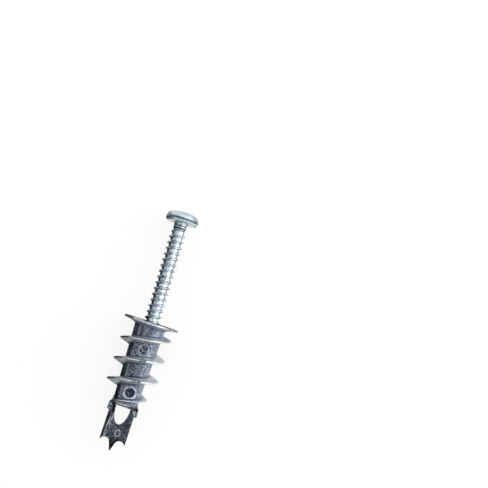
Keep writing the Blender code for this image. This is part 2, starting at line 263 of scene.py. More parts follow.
def addNode(tree, kind, inputs, **settings):
    node = tree.nodes.new(kind)
    for key, value in settings.items():
        setattr(node, key, value)
    for socket, value in inputs.items():
        setSocket(tree, node.inputs[socket], value)
    return node


def maths(tree, operation, first, second=0.0, third=0.0):
    node = addNode(tree, "ShaderNodeMath", {0: first, 1: second, 2: third}, operation=operation)
    return node.outputs[0]


def ramp(tree, value, start, end, low=0.0, high=1.0):
    # A smooth step between two values
    inputs = {"Value": value, "From Min": start, "From Max": end, "To Min": low, "To Max": high}
    return addNode(tree, "ShaderNodeMapRange", inputs, interpolation_type="SMOOTHSTEP").outputs[0]


def mixColours(tree, amount, first, second, blend="MIX"):
    node = addNode(tree, "ShaderNodeMix", {0: amount}, data_type="RGBA", blend_type=blend)
    for socket, value in ((6, first), (7, second)):
        isSocket = isinstance(value, bpy.types.NodeSocket)
        setSocket(tree, node.inputs[socket], value if isSocket else (*value, 1))
    return node.outputs[2]


def noiseAt(tree, vector, scale, detail=3.0, roughness=0.6):
    inputs = {"Vector": vector, "Scale": scale, "Detail": detail, "Roughness": roughness}
    return addNode(tree, "ShaderNodeTexNoise", inputs).outputs[0]


def hypotenuse(tree, first, second):
    squares = maths(tree, "MULTIPLY_ADD", first, first, maths(tree, "MULTIPLY", second, second))
    return maths(tree, "SQRT", squares)


def awayFrom(tree, value, middle):
    return maths(tree, "ABSOLUTE", maths(tree, "SUBTRACT", value, middle))


def spread(tree, value, factor):
    # More contrast round the middle value
    return maths(tree, "MULTIPLY_ADD", value, factor, 0.5 * (1 - factor))


def localPlace(tree, matrix):
    # Object coordinates turned back to the upright piece, in millimetres
    coordinates = tree.nodes.new("ShaderNodeTexCoord").outputs["Object"]
    place, turn, scale = matrix.decompose()
    inputs = {"Vector": coordinates, "Location": place, "Rotation": turn.to_euler(), "Scale": scale}
    place = addNode(tree, "ShaderNodeMapping", inputs, vector_type="TEXTURE").outputs[0]
    parts = addNode(tree, "ShaderNodeSeparateXYZ", {0: place}).outputs
    return place, parts[0], parts[1], parts[2]


def turnsRound(tree, x, y):
    return maths(tree, "DIVIDE", maths(tree, "ARCTAN2", y, x), 2 * math.pi)


def turnsPastCrest(tree, around, z, crestHeight, pitch):
    # How far above the crest of a right-hand thread, in turns from -0.5 to 0.5
    up = maths(tree, "DIVIDE", maths(tree, "SUBTRACT", z, crestHeight), pitch)
    return maths(tree, "WRAP", maths(tree, "SUBTRACT", up, around), 0.5, -0.5)


def region(tree, measures, bounds):
    # The product of its bounds: a measure by itself, a measure and the share of it that is taken
    # from 1, or a measure and the settings of a smooth step
    product = 1.0
    for bound in bounds:
        name, *settings = (bound,) if isinstance(bound, str) else bound
        factor = measures[name]
        if len(settings) == 1:
            factor = maths(tree, "MULTIPLY_ADD", factor, -settings[0], 1.0)
        elif settings:
            factor = ramp(tree, factor, *settings)
        product = maths(tree, "MULTIPLY", product, factor)
    return product


def addRegions(tree, measures, regions):
    for name, bounds in regions.items():
        measures[name] = region(tree, measures, bounds)


def addShades(tree, measures, level, shades):
    # Brightens or darkens one region after another, and a pull first evens out what is there
    for shade in shades.values():
        amount = shade.get("amount", 0.0)
        if isinstance(amount, tuple):
            amount = ramp(tree, measures[amount[0]], *amount[1:])
        if "pull" in shade:
            toMiddle = maths(tree, "SUBTRACT", 0.5, level)
            amount = maths(tree, "MULTIPLY_ADD", toMiddle, shade["pull"], amount)
        where = region(tree, measures, shade.get("where", []))
        level = maths(tree, "MULTIPLY_ADD", where, amount, level)
    return level


castLook = {
    "deep": (0.012, 0.014, 0.022),
    "dark": (0.075, 0.088, 0.120),
    "middle": (0.235, 0.272, 0.355),
    "bright": (0.53, 0.59, 0.68),
    "wornAndLit": (0.82, 0.86, 0.88),
    "warm": (1.0, 0.965, 0.93),
    "bladeTint": (1.0, 0.935, 0.86),
    "levels": {"deep": 0.36, "wornAndLit": 0.88, "dark": 0.45, "middle": 0.56, "bright": 0.70},
    "contrast": 2.5,
    "grainScale": 3.2,
    "fineScale": 5.2,
    "patchScale": 0.40,
    "edgeScale": 0.8,
    "mottleScale": 1.3,
    "streakScale": 6.5,
    "streakStretch": 0.02,
    "grainShare": 0.45,
    "lipHeight": -21.84,
    "lipAcross": -0.9,
    "flankShadeAcross": 0.3,
    "frontHighlightAcross": -0.7,
    "frontHighlightAbove": 0.072,
    "seamTurn": -132.0 / 360.0,
    "wornAndLitShare": 0.9,
    "tipDullness": 0.45,
    "ringLift": 0.25,
    "sinkShade": 0.24,
    "bumpStrength": 0.85,
    "bumpDepth": 0.00004,
}

# The round moulding marks. Tall is height over width, edge is half the width of the ring's painted
# highlight, and sink is the depth of the floor, which also sets its painted shade. The blade's mark has
# no sunk floor, only a painted brighter one.
marks = {
    "upper": {
        "across": 0.0, "depth": 7.05, "radius": 1.25, "tall": 1.2,
        "bead": 0.07, "edge": 0.16, "sink": 0.16,
    },
    "lower": {
        "across": 0.1, "depth": 18.3, "radius": 1.45, "tall": 1.0,
        "bead": 0.18, "edge": 0.38, "sink": 0.5,
    },
    "blade": {
        "across": 0.55, "depth": 28.9, "radius": 0.62, "tall": 1.4,
        "bead": 0.08, "edge": 0.13, "sink": -0.25,
    },
}

# Regions of the casting, in millimetres of the upright anchor
castRegions = {
    "onBody": [("z", -22.3, -21.5)],
    "onBlade": [("z", -22.3, -22.7)],
    "onFlange": [("z", -0.6, -0.5), ("radius", 3.2, 3.6)],
    "underFlange": [("z", -5.0, -3.5), ("radius", 4.6, 4.1)],
    "clearOfFlange": [("z", -1.5, -2.0)],
    "onTurns": [("radius", 3.75, 4.5), "onBody"],
    "middleTurns": [("z", -8.0, -8.4), ("z", -16.6, -16.2)],
    "lowerFlank": [("raggedY", -3.9, -4.9), ("aboveCrest", 0.06, 0.045), "middleTurns"],
    # Painted shade on the lower flanks of the middle turns, which face down
    "lowerFlankShade": [
        "lowerFlank",
        ("fromFlankShade", 1.7, 0.7),
        ("grain", 0.60, 0.48, 0.15, 1.0),
        ("aboveCrest", -0.09, -0.03, 0.4, 1.0),
    ],
    # Painted highlight on the lower flanks right of the middle
    "facet": ["lowerFlank", ("x", 1.2, 1.8), ("x", 3.4, 2.6)],
    # Painted shade on the crests on the left, and painted light on the tips below them
    "leftCrest": [("x", -3.0, -3.6), ("offCrest", 0.030, 0.045, 1.0, 0.0), "onTurns", "clearOfFlange"],
    "leftTips": [("x", -2.8, -4.9), "clearOfFlange", ("leftCrest", 1.0)],
    "ribFront": ["onBlade", ("x", -1.72, -1.8), ("x", -2.82, -2.74), ("y", -0.2, -0.45)],
    "ribBack": ["onBlade", ("x", 1.72, 1.8), ("x", 2.82, 2.74), ("y", 0.2, 0.45)],
    "outerTurns": [("radius", 4.2, 5.6), "onBody"],
}

# Each shade is added to the grey level in this order. A level below 0.4 is nearly black, and one
# above 0.8 is as bright as bare metal. Many of them are painted light and shade, as marked.
castShades = {
    # Painted light: the casting is lighter towards the right, where the lamps are
    "toRight": {"amount": ("x", 0.8, 2.4, -0.025, 0.065)},
    # Painted sheen: the thread turns are evened out and made lighter
    "turnSheen": {"where": ["onTurns"], "pull": 0.62, "amount": 0.24},
    "patches": {"where": ["patches"], "amount": 0.16},
    # Painted shade on the lower flanks
    "lowerFlankShade": {"where": ["lowerFlankShade"], "amount": -0.50},
    # Painted highlight on the lower flanks right of the middle
    "facet": {"where": ["facet"], "amount": 0.16},
    # Painted shade on the crests on the left, away from the lamps
    "leftCrest": {"where": ["leftCrest"], "amount": -0.25},
    # Painted light on the left tips, which the black card's reflection darkens
    "leftTips": {"where": ["leftTips"], "amount": ("grain", 0.40, 0.60, 0.02, 0.36)},
    "farRight": {"amount": ("x", 3.8, 4.6, 0.0, -0.08)},
    # Painted light on the fronts of the turns, more on the lower ones
    "turnFronts": {
        "where": [("y", -3.8, -4.3), ("z", -2.5, -3.0)],
        "amount": ("z", -8.0, -7.0, 0.19, 0.26),
    },
    "flangeMottle": {"where": ["onFlange", "mottle"], "amount": -0.15},
    "evenTop": {"where": [("z", -0.25, -0.15)], "pull": 0.45},
    # Painted light on the flange's left and painted shade on its right, where the key lamp falls
    "flangeSides": {"where": ["onFlange"], "amount": ("x", 1.5, 4.0, 0.08, -0.09)},
    # Painted shade: a dark band where the tube ends, and a dark line between the lip's two painted
    # highlights
    "lipEdge": {"where": [("z", -22.05, -22.10), ("z", -22.35, -22.25)], "amount": -0.22},
    "lipGroove": {
        "where": [("offLip", 0.14, 0.10), ("radius", 2.9, 3.0)],
        "amount": ("x", 0.4, 1.2, -0.18, 0.02),
    },
    "calmBlade": {"where": ["onBlade"], "pull": 0.35, "amount": -0.065},
    "bladeEnd": {"where": [("z", -29.8, -32.2)], "amount": -0.16},
    "bladeRight": {"where": ["onBlade"], "amount": ("x", 0.6, 2.2, 0.0, -0.06)},
    # Painted shade beside the rib
    "besideRib": {"where": ["onBlade", "onRibSide", ("sideways", 2.72, 2.85)], "amount": -0.12},
    # Painted light on the window's walls
    "windowWall": {
        "where": [
            "onBlade",
            ("sideways", 2.2, 2.1),
            ("offPlate", 0.52, 0.44),
            ("z", -27.2, -27.0),
            ("z", -22.4, -23.4),
        ],
        "amount": 0.20,
    },
    # Painted light on the shoulder block, which the lamps leave dark
    "shoulder": {
        "where": [("x", 2.25, 2.4), ("y", -0.75, -0.85), ("z", -22.2, -22.4)],
        "amount": ("x", 3.0, 3.6, 0.17, 0.05),
    },
    # Painted shade round and under the tube's end
    "tubeEnd": {"where": [("z", -20.9, -21.3), ("z", -22.6, -22.3), ("x", 0.9, 1.6)], "amount": -0.10},
    "underLip": {
        "where": [("z", -21.4, -21.6), ("z", -22.5, -22.35), ("x", 0.2, 0.9)],
        "amount": -0.20,
    },
    # Painted shade at the blade's root, lighter at its outer edge
    "bladeRootShade": {
        "where": [("z", -22.2, -22.4), ("z", -24.8, -23.4), ("x", -1.5, -1.7)],
        "amount": ("x", -2.8, -2.6, 0.18, -0.26),
    },
    "ribStreaks": {"where": ["ribCrown", "streaks"], "amount": 1.2},
    "ribShade": {"where": ["ribCrown"], "amount": -0.50},
}

# Where the casting is worn to bare metal, with painted highlights on the crests, front line and lip
castWearAndHighlights = {
    # Partly wear and partly painted highlight along the crests
    "crestWearAndHighlight": [
        ("offCrest", 0.012, 0.055, 1.0, 0.0),
        ("radius", 3.75, 4.3),
        ("lowerFlankShade", 0.9),
        "onBody",
    ],
    # Painted highlight along the front of the middle crests
    "frontCrestHighlight": [("besideLine", 2.4, 1.7), ("y", -3.6, -3.8), "middleTurns", ("offLine", 0.03, 0.015)],
    # Wear on the flange's rim, dimmed towards the right as painted shade
    "rimWearAndShade": [("radius", 6.55, 6.9), ("z", -1.0, -0.8), ("mottle", 0.75), ("x", 1.5, 4.0, 1.0, 0.45)],
    # Painted highlights: two bright lines along the tube's lip
    "lipHighlights": [
        ("offLip", 0.14, 0.18),
        ("offLip", 0.36, 0.32),
        ("besideLip", 1.0, 2.0, 1.0, 0.1),
        ("radius", 2.9, 3.0),
        ("radius", 3.3, 3.2),
    ],
    "seamWear": [
        ("offSeam", 0.004, 0.009, 1.0, 0.0),
        ("radius", 4.3, 4.0),
        ("grain", 0.35, 0.6, 0.05, 0.19),
        "onBody",
    ],
}


def castMeasures(tree):
    look, size = castLook, anchorSize
    place, x, y, z = localPlace(tree, anchorPlace)
    around = turnsRound(tree, x, y)
    aboveCrest = turnsPastCrest(tree, around, z, size["pitch"] / 4 - size["frontDepth"], size["pitch"])
    grain = noiseAt(tree, place, look["grainScale"], detail=4.0, roughness=0.65)
    patches = noiseAt(tree, place, look["patchScale"], detail=2.0, roughness=0.5)
    edges = noiseAt(tree, place, look["edgeScale"], detail=2.0)
    ragged = maths(tree, "MULTIPLY_ADD", edges, 2.2, maths(tree, "MULTIPLY_ADD", grain, 1.2, -1.7))
    stretch = {"Vector": place, "Scale": (1.0, 1.0, look["streakStretch"])}
    stretched = addNode(tree, "ShaderNodeMapping", stretch).outputs[0]
    return {
        "x": x,
        "y": y,
        "z": z,
        "radius": hypotenuse(tree, x, y),
        "sideways": maths(tree, "ABSOLUTE", x),
        "offPlate": maths(tree, "ABSOLUTE", y),
        "onRibSide": maths(tree, "GREATER_THAN", maths(tree, "MULTIPLY", x, y), 0.0),
        "aboveCrest": aboveCrest,
        "offCrest": maths(tree, "ABSOLUTE", aboveCrest),
        "offLine": awayFrom(tree, aboveCrest, look["frontHighlightAbove"]),
        "besideLine": awayFrom(tree, x, look["frontHighlightAcross"]),
        "offLip": awayFrom(tree, z, look["lipHeight"]),
        "besideLip": awayFrom(tree, x, look["lipAcross"]),
        "offSeam": awayFrom(tree, around, look["seamTurn"]),
        "raggedY": maths(tree, "ADD", y, ragged),
        "fromFlankShade": awayFrom(tree, maths(tree, "ADD", x, ragged), look["flankShadeAcross"]),
        "grain": grain,
        "fine": noiseAt(tree, place, look["fineScale"], detail=3.0, roughness=0.75),
        "patches": maths(tree, "SUBTRACT", patches, 0.5),
        "mottle": ramp(tree, noiseAt(tree, place, look["mottleScale"]), 0.58, 0.40),
        "streaks": noiseAt(tree, stretched, look["streakScale"], detail=2.0),
    }


def addMarks(tree, measures, level):
    # The moulding marks: a painted highlight on the ring and painted shade on the sunk floor
    rings = 0.0
    front = ramp(tree, measures["y"], -0.3, -0.5)
    grainy = ramp(tree, measures["fine"], 0.40, 0.58, 0.75, 1.2)
    for mark in marks.values():
        side = maths(tree, "SUBTRACT", measures["x"], mark["across"])
        rise = maths(tree, "DIVIDE", maths(tree, "ADD", measures["z"], mark["depth"]), mark["tall"])
        away = hypotenuse(tree, side, rise)
        offRing = awayFrom(tree, away, mark["radius"])
        ring = ramp(tree, offRing, mark["edge"] * 0.3, mark["edge"], 1.0, 0.0)
        rings = maths(tree, "MAXIMUM", rings, maths(tree, "MULTIPLY", ring, grainy))
        inside = ramp(tree, away, mark["radius"] - 0.25, mark["radius"] - 0.1, 1.0, 0.0)
        inside = maths(tree, "MULTIPLY", inside, front)
        level = maths(tree, "MULTIPLY_ADD", inside, -castLook["sinkShade"] * mark["sink"], level)
    rings = maths(tree, "MULTIPLY", rings, front)
    return maths(tree, "MULTIPLY_ADD", rings, castLook["ringLift"], level)


def castZincMaterial():
    look = castLook
    material, tree, shader = newMaterial("castZinc")
    measures = castMeasures(tree)
    addRegions(tree, measures, castRegions)
    measures["ribCrown"] = maths(tree, "MAXIMUM", measures["ribFront"], measures["ribBack"])
    grain, fine, streaks = measures["grain"], measures["fine"], measures["streaks"]
    speckle = maths(tree, "MULTIPLY", fine, 1 - look["grainShare"])
    speckle = maths(tree, "MULTIPLY_ADD", grain, look["grainShare"], speckle)
    # The tube under the flange is brushed lengthwise
    brushed = maths(tree, "MULTIPLY_ADD", fine, 0.35, maths(tree, "MULTIPLY_ADD", streaks, 0.34, 0.155))
    brushed = maths(tree, "SUBTRACT", brushed, speckle)
    level = maths(tree, "MULTIPLY_ADD", measures["underFlange"], brushed, speckle)
    level = spread(tree, level, look["contrast"])
    level = addShades(tree, measures, level, castShades)
    level = addMarks(tree, measures, level)
    addRegions(tree, measures, castWearAndHighlights)
    level = maths(tree, "ADD", level, measures["seamWear"])
    greys = addNode(tree, "ShaderNodeValToRGB", {0: level})
    stops = greys.color_ramp.elements
    for stop, name in zip((stops[0], stops[1]), ("deep", "wornAndLit")):
        stop.position, stop.color = look["levels"][name], (*look[name], 1)
    for name in ("dark", "middle", "bright"):
        stops.new(look["levels"][name]).color = (*look[name], 1)
    # Wear mixed with the painted highlights, and dimmed by the painted shade on the left crests
    wearAndHighlight = maths(tree, "MAXIMUM", measures["crestWearAndHighlight"], measures["frontCrestHighlight"])
    wearAndHighlight = maths(tree, "MULTIPLY", wearAndHighlight, maths(tree, "SUBTRACT", 1.0, measures["leftCrest"]))
    wearAndHighlight = maths(tree, "MAXIMUM", wearAndHighlight, measures["rimWearAndShade"])
    wearAndHighlight = maths(tree, "MULTIPLY", wearAndHighlight, ramp(tree, grain, 0.34, 0.54, 0.1, 1.0))
    wearAndHighlight = maths(tree, "MAXIMUM", wearAndHighlight, measures["lipHighlights"])
    wornAndLitAmount = maths(tree, "MULTIPLY", wearAndHighlight, look["wornAndLitShare"])
    base = mixColours(tree, wornAndLitAmount, greys.outputs[0], look["wornAndLit"])
    base = mixColours(tree, measures["outerTurns"], base, look["warm"], "MULTIPLY")
    base = mixColours(tree, measures["onBlade"], base, look["bladeTint"], "MULTIPLY")
    metallic = maths(tree, "MULTIPLY_ADD", measures["leftTips"], -look["tipDullness"], 1.0)
    rough = maths(tree, "MULTIPLY_ADD", wearAndHighlight, -0.14, ramp(tree, speckle, 0.35, 0.65, 0.52, 0.36))
    relief = maths(tree, "MULTIPLY_ADD", fine, 0.5, grain)
    heights = {"Strength": look["bumpStrength"], "Distance": look["bumpDepth"], "Height": relief}
    tree.links.new(base, shader.inputs["Base Color"])
    tree.links.new(metallic, shader.inputs["Metallic"])
    tree.links.new(rough, shader.inputs["Roughness"])
    tree.links.new(addNode(tree, "ShaderNodeBump", heights).outputs[0], shader.inputs["Normal"])
    return material


screwSize = {
    "standout": 26.1,
    "startedDepth": 5.65,
    "headRadius": 4.085,
    "headHeight": 2.8,
    "edgeHeight": 0.7,
    "edgeBevel": 0.3,
    "crownPower": 0.75,
    "neckRadius": 1.6,
    "neckLength": 1.8,
    "neckFillet": 0.7,
    "neckChamfer": 0.12,
    "neckOverlap": 0.4,
    "rootRadius": 1.475,
    "crestRadius": 2.05,
    "pitch": 1.51,
    "crestHalfWidth": 0.05,
    "flankSlope": math.tan(math.radians(30)),
    "rootBlend": 0.12,
    "runOut": 1.6,
    "crestHeight": 22.88,
    "pointLength": 4.5,
    "pointRadius": 0.03,
    "pointThread": 0.15,
    "threadRows": [0, 0.05, 0.12, 0.2, 0.28, 0.34, 0.40, 0.48, 0.6],
    "threadSteps": 72,
    "headSteps": 128,
}
plateLook = {
    "bright": (0.90, 0.94, 0.96),
    "blue": (0.58, 0.68, 0.75),
    "headBright": (0.60, 0.675, 0.715),
    "headBlue": (0.50, 0.59, 0.64),
    "navy": (0.030, 0.055, 0.095),
    "teal": (0.062, 0.105, 0.130),
    "cloudScale": 0.9,
    "spotScale": 3.5,
    "rippleScale": 2.2,
    "bandsPerMillimetre": 9.5,
    "rootShadeOffset": -0.13,
    "headTarnish": 0.03,
    "headRipple": 0.03,
    "crestDullness": 0.55,
    "bumpDepth": 0.00008,
}

# Regions of the screw, in millimetres from the flange's top face
plateRegions = {
    "onShank": [("z", 26.2, 25.9)],
    "shankTint": [("z", 26.58, 26.48)],
    # Painted shade on the dome's right and painted light on its left
    "headRight": [("x", 1.2, 3.0, 0.0, 0.32)],
    "headLeft": [("x", -0.5, -2.5, 0.0, 0.30)],
    # Painted shade round the head's rim, and a painted dark reflection on the dome's upper left edge
    "rimShade": [("z", 26.52, 26.64), ("z", 27.38, 27.05), ("cloud", 0.25, 0.5, 0.55, 0.9)],
    "leftEdge": [("x", -2.9, -3.7), ("z", 27.0, 27.3)],
    "leftCrests": [("radius", 1.70, 1.85), "onShank", ("x", -0.9, -1.3)],
}

# The strongest of these at each place mixes to navy: dark crests on the lower turns, dark bands round
# the neck, and painted shade below each crest and on the shank's left side
plateTarnishAndShade = {
    "crests": [
        ("radius", 1.78, 1.98),
        ("z", 23.8, 23.4),
        ("x", -1.3, -0.9, 0.25, 1.0),
        ("spotsAndLeftShade", 0.56, 0.42, 0.0, 0.6),
    ],
    "neckBands": [
        ("bands", -0.7, -0.2),
        ("z", 23.9, 24.1),
        ("z", 25.5, 25.3),
        ("spots", 0.66, 0.54, 0.5, 1.0),
    ],
    # Painted shade on the line below each crest
    "threadRoot": [("offRoot", 0.05, 0.14, 1.0, 0.0), "onShank", ("spotsAndLeftShade", 0.54, 0.44, 0.0, 0.62)],
    # Painted shade on the shank's left side
    "leftSideShade": [
        ("x", -0.90, -1.12),
        ("y", 0.3, -0.1),
        "onShank",
        ("radius", 1.78, 1.62),
        ("spots", 0.60, 0.46, 0.2, 0.9),
    ],
}


def plateMeasures(tree, place, x, y, z):
    look, size = plateLook, screwSize
    spots = noiseAt(tree, place, look["spotScale"], detail=4.0, roughness=0.72)
    aboveCrest = turnsPastCrest(tree, turnsRound(tree, x, y), z, size["crestHeight"], size["pitch"])
    return {
        "x": x,
        "y": y,
        "z": z,
        "radius": hypotenuse(tree, x, y),
        "cloud": noiseAt(tree, place, look["cloudScale"]),
        "spots": spots,
        # Painted shade: the spots are darker towards the left
        "spotsAndLeftShade": maths(tree, "ADD", spots, ramp(tree, x, -1.1, 0.5, -0.045, 0.015)),
        "bands": maths(tree, "SINE", maths(tree, "MULTIPLY", z, look["bandsPerMillimetre"])),
        "offRoot": awayFrom(tree, aboveCrest, look["rootShadeOffset"]),
    }


def zincPlateMaterial():
    look = plateLook
    material, tree, shader = newMaterial("zincPlate")
    place, x, y, z = localPlace(tree, screwPlace)
    measures = plateMeasures(tree, place, x, y, z)
    addRegions(tree, measures, plateRegions)
    onShank, spots = measures["onShank"], measures["spots"]
    patch = ramp(tree, measures["cloud"], 0.38, 0.62)
    shankTint = mixColours(tree, patch, look["bright"], look["blue"])
    headTint = mixColours(tree, patch, look["headBright"], look["headBlue"])
    # Painted shade on the dome's right, painted light on its left, then painted shade on the rim line
    # and upper left edge
    headTint = mixColours(tree, measures["headRight"], headTint, look["teal"])
    headTint = mixColours(tree, measures["headLeft"], headTint, look["bright"])
    tint = mixColours(tree, measures["shankTint"], headTint, shankTint)
    leftEdge = maths(tree, "MULTIPLY", measures["leftEdge"], 0.75)
    tint = mixColours(tree, maths(tree, "MAXIMUM", measures["rimShade"], leftEdge), tint, look["teal"])
    # Tarnish spots, with painted shade on the left, below the crests and on the shank's left side
    strength = maths(tree, "MULTIPLY_ADD", onShank, 0.90 - look["headTarnish"], look["headTarnish"])
    tarnishAndShade = maths(tree, "MULTIPLY", ramp(tree, measures["spotsAndLeftShade"], 0.50, 0.41), strength)
    for bounds in plateTarnishAndShade.values():
        tarnishAndShade = maths(tree, "MAXIMUM", tarnishAndShade, region(tree, measures, bounds))
    base = mixColours(tree, tarnishAndShade, tint, look["navy"])
    metallic = maths(tree, "MULTIPLY_ADD", measures["leftCrests"], -look["crestDullness"], 1.0)
    rough = maths(tree, "MULTIPLY_ADD", onShank, -0.14, ramp(tree, spots, 0.35, 0.65, 0.48, 0.38))
    ripples = noiseAt(tree, place, look["rippleScale"], roughness=0.55)
    depth = maths(tree, "MULTIPLY_ADD", onShank, 1 - look["headRipple"], look["headRipple"])
    ripples = maths(tree, "MULTIPLY", ripples, depth)
    heights = {"Strength": 1.0, "Distance": look["bumpDepth"], "Height": ripples}
    tree.links.new(base, shader.inputs["Base Color"])
    tree.links.new(metallic, shader.inputs["Metallic"])
    tree.links.new(rough, shader.inputs["Roughness"])
    tree.links.new(addNode(tree, "ShaderNodeBump", heights).outputs[0], shader.inputs["Normal"])
    return material


anchorSize = {
    "tubeTop": 3.90,
    "tubeEnd": 3.05,
    "tubeLength": 22.2,
    "lipRise": 0.09,
    "lipStart": 0.55,
    "lipFull": 0.35,
    "crestRadius": 6.28,
    "crestHalfWidth": 0.10,
    "crestRound": 0.05,
    "flankSlope": math.tan(math.radians(17)),
    "pitch": 5.35,
    "frontDepth": 4.35,
    "fadeStart": 16.75,
    "fadeSlope": 0.5525,
    "leadSlope": 4.5,
    "leadStart": 0.1,
    "leadThinning": 0.8,
    "leadLength": 0.8,
    "rootFillet": 0.55,
    "threadTurns": 7,
    "turnsBelow": 5,
    "threadSteps": 144,
    "threadRows": [
        0, 0.07, 0.12, 0.16, 0.22, 0.30, 0.40, 0.50, 0.60,
        0.70, 0.80, 0.88, 0.96, 1.05, 1.15, 1.3, 1.6, 2.1,
    ],
    "topSunk": 0.2,
}
flangeSize = {
    "radius": 6.966,
    "rimDepth": 0.42,
    "rimRound": 0.12,
    "rimStep": 0.02,
    "hubDepth": 1.35,
    "curveShare": 0.45,
    "curvePower": 5,
    "curveSteps": 8,
    "overlapAcross": 0.25,
    "overlapDown": 0.7,
    "steps": 144,
}


def tubeRadius(height):
    size = anchorSize
    along = share(-height, flangeSize["hubDepth"], size["tubeLength"])
    lip = share(-height, size["tubeLength"] - size["lipStart"], size["tubeLength"] - size["lipFull"])
    return size["tubeTop"] + (size["tubeEnd"] - size["tubeTop"]) * along + size["lipRise"] * lip


def threadRadius(height, offset):
    size = anchorSize
    away = max(abs(offset) - size["crestHalfWidth"], 0.0)
    fall = (math.hypot(away, size["crestRound"]) - size["crestRound"]) / size["flankSlope"]
    crest = size["crestRadius"] - size["fadeSlope"] * max(-height - size["fadeStart"], 0.0)
    # The first turn is thin and low where it leaves the flange
    leadEnd = size["pitch"] / 4 - size["frontDepth"]
    crest -= size["leadSlope"] * max(height - offset - leadEnd - size["leadStart"], 0.0)
    if offset > 0:
        fall *= 1 + size["leadThinning"] * share(height - offset, leadEnd - size["leadLength"], leadEnd)
    return smoothMax(tubeRadius(height), crest - fall, size["rootFillet"])


def anchorBody():
    size = anchorSize
    lowestCrest = -size["frontDepth"] + size["pitch"] / 4 - size["turnsBelow"] * size["pitch"]
    low, high = -size["tubeLength"], -size["topSunk"]
    return helicalSkin("anchorCasting", size, lowestCrest, size["threadTurns"], low, high, threadRadius)


def flangePiece():
    size = flangeSize
    rim, under = size["rimRound"], -size["rimDepth"]
    outer, flat = size["radius"], size["radius"] - size["rimRound"]
    profile = [(0.0, 0.0), (flat, 0.0)]
    for angle in (math.radians(degrees) for degrees in (30, 60, 90)):
        profile.append((flat + rim * math.sin(angle), -rim + rim * math.cos(angle)))
    profile += [(outer, under + rim), (outer - rim * 0.3, under + rim * 0.2)]
    profile += [(flat, under - size["rimStep"])]
    reach = flat - anchorSize["tubeTop"]
    drop = size["hubDepth"] - size["rimDepth"]
    for step in range(1, size["curveSteps"] + 1):
        inward = step / size["curveSteps"]
        curve = (1 - size["curveShare"]) * inward + size["curveShare"] * inward ** size["curvePower"]
        profile.append((flat - reach * inward, under - drop * curve))
    bottom = -size["hubDepth"] - size["overlapDown"]
    profile += [(anchorSize["tubeTop"] - size["overlapAcross"], bottom), (0.0, bottom)]
    return turnedPiece("flange", profile, size["steps"])


bladeSize = {
    "halfWidth": 3.25,
    "halfThickness": 0.55,
    "faceShare": 0.98,
    "toothDepth": 31.6,
    "tipDepth": 33.7,
    "tipHalfWidth": 0.06,
    "tubeOverlap": 0.2,
    "spikeHalfWidth": 0.85,
    "spikeRise": 0.34,
    "scallopHeight": 0.95,
    "scallopSetback": 1.4,
    "shoulderReach": 0.6,
    "shoulderDepth": 23.4,
    "shoulderLength": 4.2,
    "windowHalfWidth": 1.95,
    "windowLength": 4.6,
    "edgeHalfThickness": 0.18,
    "edgeBevel": 0.06,
}
ribSize = {
    "across": 2.25,
    "halfWidth": 0.5,
    "rise": 0.4,
    "overlap": 1.0,
    "fullLength": 2.1,
    "length": 8.3,
    "endShare": 0.9,
    "bevel": 0.12,
}
shoulderSize = {
    "outline": [
        (2.2, -21.6), (3.72, -21.6), (3.84, -23.35),
        (3.78, -23.62), (3.2, -23.9), (2.45, -22.9),
    ],
    "halfThickness": 0.3,
    "forward": 0.65,
    "bevel": 0.1,
}


def bladeRib(turn):
    size = ribSize
    thickness, tubeEnd = bladeSize["halfThickness"], -anchorSize["tubeLength"]
    crown = thickness + size["rise"]
    outline = [
        (0.0, tubeEnd + size["overlap"]),
        (-crown, tubeEnd + size["overlap"]),
        (-crown, tubeEnd - size["fullLength"]),
        (-size["endShare"] * thickness, tubeEnd - size["length"]),
        (0.0, tubeEnd - size["length"]),
    ]
    rib = movePiece(platePiece("bladeRib", outline, size["halfWidth"]), turnZ=math.pi / 2)
    bevelEdges(rib, size["bevel"], segments=3)
    return movePiece(rib, turnZ=turn, shift=(-math.cos(turn) * size["across"], 0, 0))


def shoulderBlock(turn):
    # The thick root of the reamer shoulder, beside the tube's end
    size = shoulderSize
    block = platePiece("shoulderBlock", size["outline"], size["halfThickness"])
    bevelEdges(block, size["bevel"])
    return movePiece(movePiece(block, shift=(0, -size["forward"], 0)), turnZ=turn)


def bladeOutline():
    # One half runs from the tube down to the centre spike, and the other half mirrors it
    size = bladeSize
    half, tooth = size["halfWidth"], size["toothDepth"]
    top = size["shoulderDepth"] - size["shoulderLength"]
    reach = size["shoulderReach"]
    right = [
        (tubeRadius(-top) - size["tubeOverlap"], -top),
        (half + reach, -size["shoulderDepth"]),
        (half + reach, -size["shoulderDepth"] - reach / 2),
        (half, -size["shoulderDepth"] - reach),
    ]
    scallopTop = (half - size["scallopSetback"], -(tooth - size["scallopHeight"]))
    spikeBase = (size["spikeHalfWidth"], -(tooth - size["spikeRise"]))
    right += arcPoints((half, -tooth), scallopTop, spikeBase, 20)
    left = [(-across, up) for across, up in reversed(right)]
    tip = size["tipHalfWidth"]
    return right + [(tip, -size["tipDepth"]), (-tip, -size["tipDepth"])] + left


def bladeWedge():
    # Seen from the side, the blade thins out below its teeth
    size = bladeSize
    face, edge = size["halfThickness"] * size["faceShare"], size["edgeHalfThickness"]
    relief = size["toothDepth"] - size["scallopHeight"]
    bottom = -size["tipDepth"] - 0.5
    outline = [(-face, 0.0), (-face, -relief), (-edge, bottom)]
    outline += [(-across, up) for across, up in reversed(outline)]
    return movePiece(platePiece("bladeSide", outline, 8.0), turnZ=math.pi / 2)


